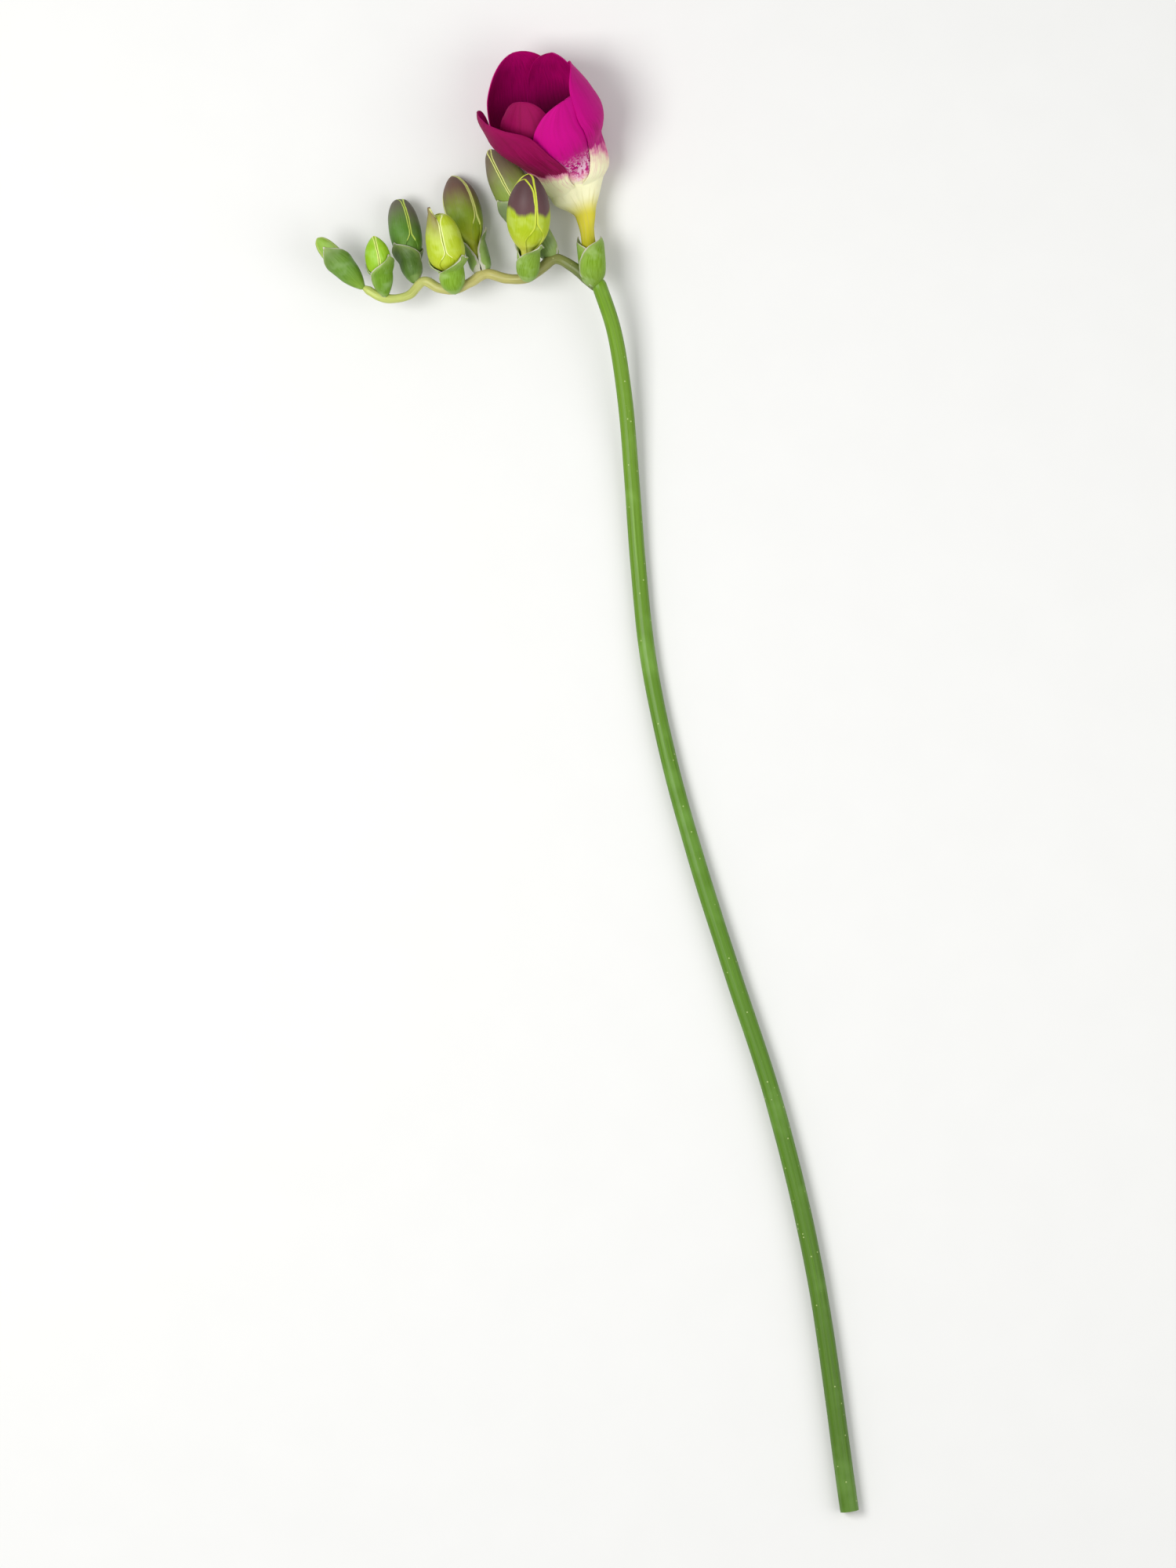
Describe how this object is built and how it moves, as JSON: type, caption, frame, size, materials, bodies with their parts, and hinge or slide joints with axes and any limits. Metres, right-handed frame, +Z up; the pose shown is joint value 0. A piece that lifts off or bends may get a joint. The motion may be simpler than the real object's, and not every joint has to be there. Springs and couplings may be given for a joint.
{
  "type": "freesia stem",
  "caption": "Cut freesia stem lying on its side: a long bare stem that turns into a sideways comb of buds in green bracts, with an open cup-shaped bloom at its lowest place.",
  "frame": {"origin": "middle of the bottom of its box, on the surface that it lies on", "axes": "+Y along the stem from the cut end to the flowers, +Z up from the surface"},
  "size_m": [0.1512, 0.4064, 0.0356],
  "materials": {
    "stem_green": "smooth green plant skin with a soft sheen",
    "bud_skin": "smooth yellow-green bud skin flushed with dusky purple, with cream seams",
    "petal": "soft matt magenta petal with a cream throat",
    "style": "pale, smooth",
    "stamen": "pale grey-lilac, matt"
  },
  "bodies": {
    "root": {"stem": "stem_green", "bloom_1": "petal", "style": "style", "stamen_1": "stamen", "stamen_2": "stamen", "stamen_3": "stamen", "bud_2": "bud_skin", "bud_3": "bud_skin", "bud_4": "bud_skin", "bud_5": "bud_skin", "bud_6": "bud_skin", "bud_7": "bud_skin", "bud_8": "bud_skin"}
  },
  "joints": []
}
